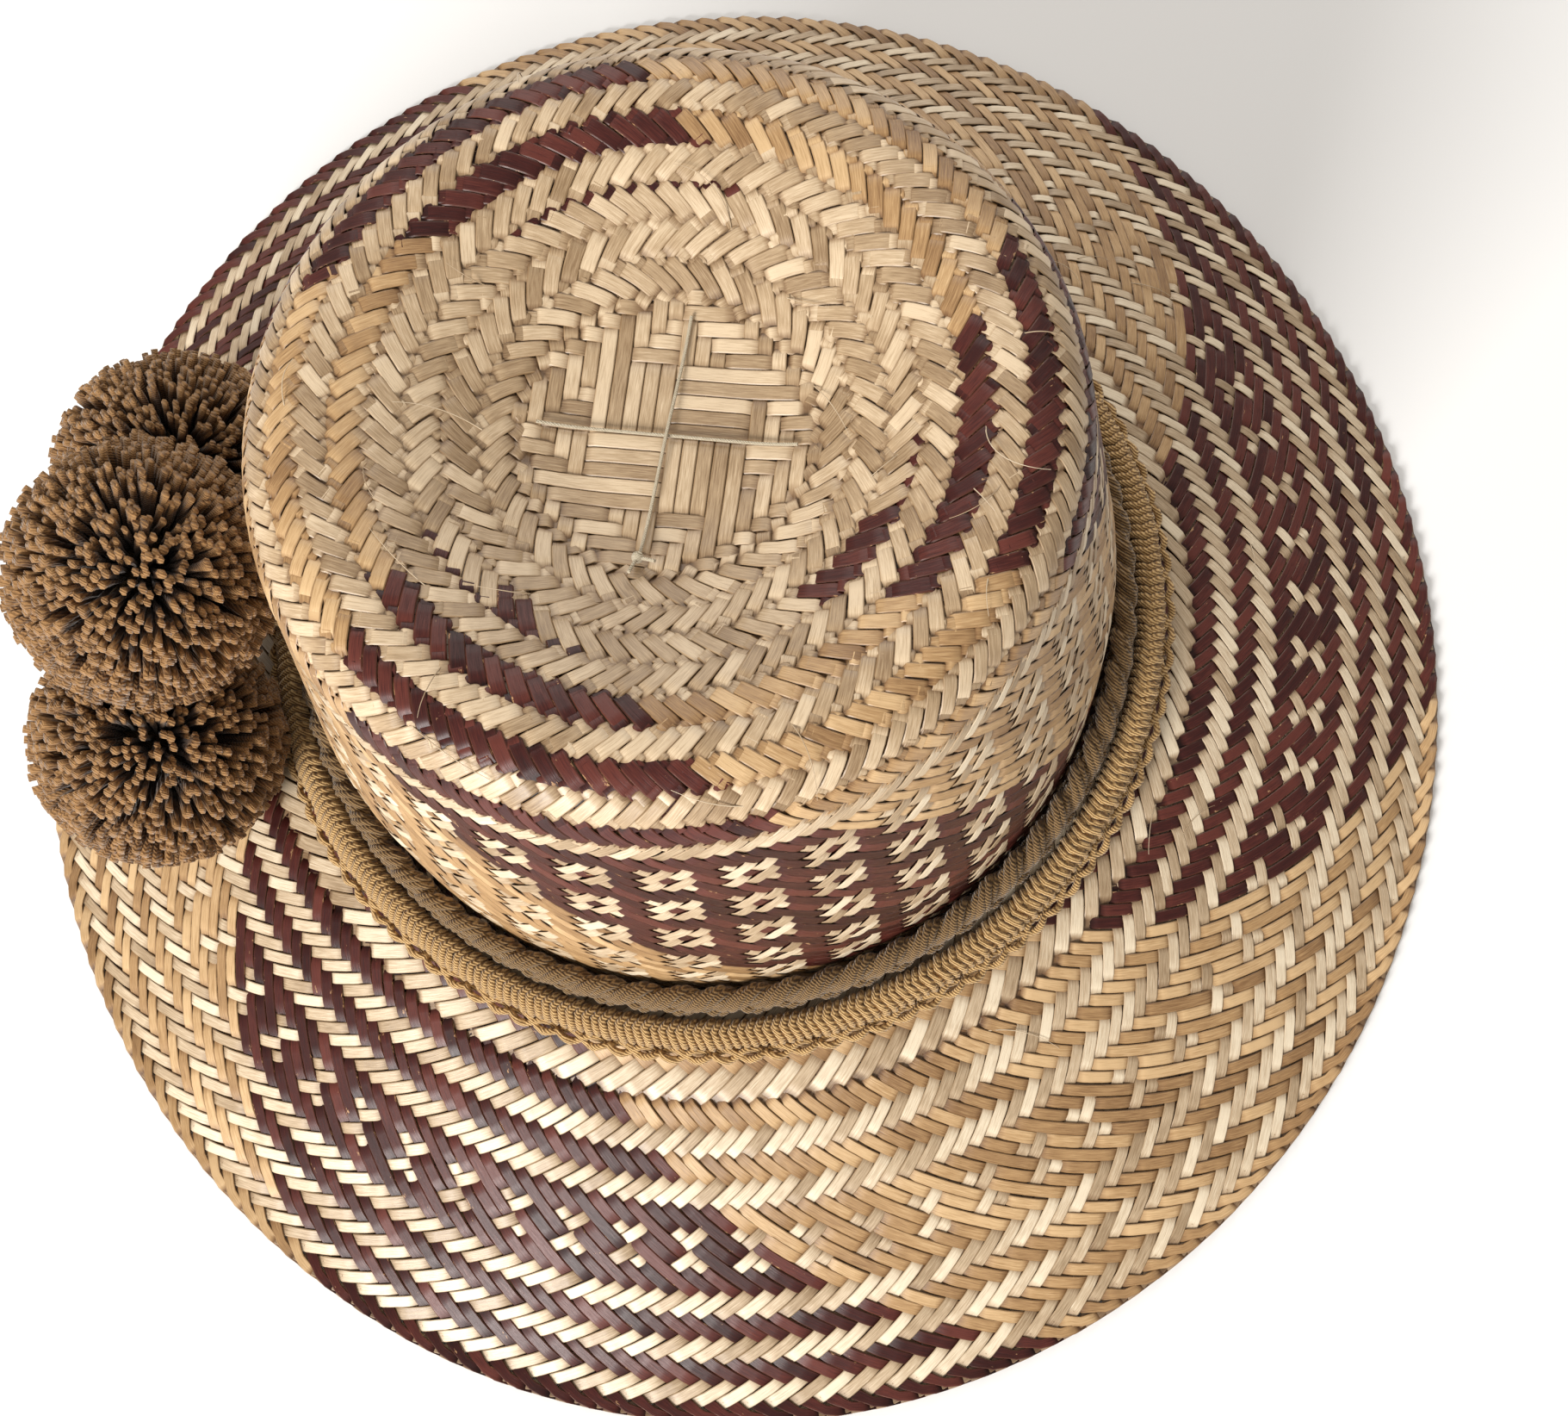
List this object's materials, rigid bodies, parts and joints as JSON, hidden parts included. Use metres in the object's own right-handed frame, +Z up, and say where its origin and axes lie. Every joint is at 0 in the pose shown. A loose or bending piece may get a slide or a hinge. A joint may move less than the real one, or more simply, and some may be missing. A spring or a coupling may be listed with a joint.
{
  "type": "woven straw hat",
  "caption": "Hand-woven straw hat with a round dished crown, a wide sloping brim with dyed sectors, a plaited cotton band and big yarn pompoms on its left side.",
  "frame": {"origin": "centre of the rim, on the plane that the rim rests on", "axes": "+Z up along the crown's axis, -Y is the front of the hat, and the pompoms are on the left, -X"},
  "size_m": [0.354, 0.3752, 0.1539],
  "materials": {
    "straw": "natural palm straw, satin",
    "dyed_straw": "reddish-brown dyed palm straw, satin",
    "band_yarn": "plied cotton yarn, matte",
    "pompom_yarn": "cut cotton yarn, matte",
    "thread": "sewing thread, matte",
    "tape": "cotton tape, matte"
  },
  "bodies": {
    "hat": {"crown_tip": "straw", "crown_shoulder": "straw", "crown_wall": "straw", "brim": "straw", "brim_edge": "straw", "tip_stitch_long": "thread", "tip_stitch_short": "thread", "tip_knot": "thread", "sweatband": "tape", "sweatband_lap": "tape", "sweatband_stitches": "thread"},
    "hat_band": {"band_braid": "band_yarn", "band_roll": "band_yarn", "band_lace": "band_yarn", "band_knot": "band_yarn", "pompom_top_cord": "band_yarn"},
    "pompom_back": {"pompom_back_yarn": "pompom_yarn", "pompom_back_binding": "thread", "pompom_back_cord": "band_yarn"},
    "pompom_front": {"pompom_front_yarn": "pompom_yarn", "pompom_front_binding": "thread", "pompom_front_cord": "band_yarn"},
    "pompom_top": {"pompom_top_yarn": "pompom_yarn", "pompom_top_binding": "thread"}
  },
  "joints": [
    {"name": "band_lift", "type": "slide", "parent": "hat", "child": "hat_band", "axis": [0, 0, 1], "range_m": [0, 0.13]},
    {"name": "pompom_back_swing", "type": "hinge", "parent": "hat_band", "child": "pompom_back", "pos_m": [-0.10249, 0.03791, 0.04273], "axis": [0.3883, -0.1436, -0.9103], "range_deg": [0, 30]},
    {"name": "pompom_front_swing", "type": "hinge", "parent": "hat_band", "child": "pompom_front", "pos_m": [-0.10799, -0.01672, 0.04273], "axis": [-0.4091, -0.0633, 0.9103], "range_deg": [0, 30]},
    {"name": "pompom_top_lift", "type": "slide", "parent": "hat_band", "child": "pompom_top", "axis": [-0.4431, 0.0093, 0.8964], "range_m": [0, 0.02]}
  ]
}
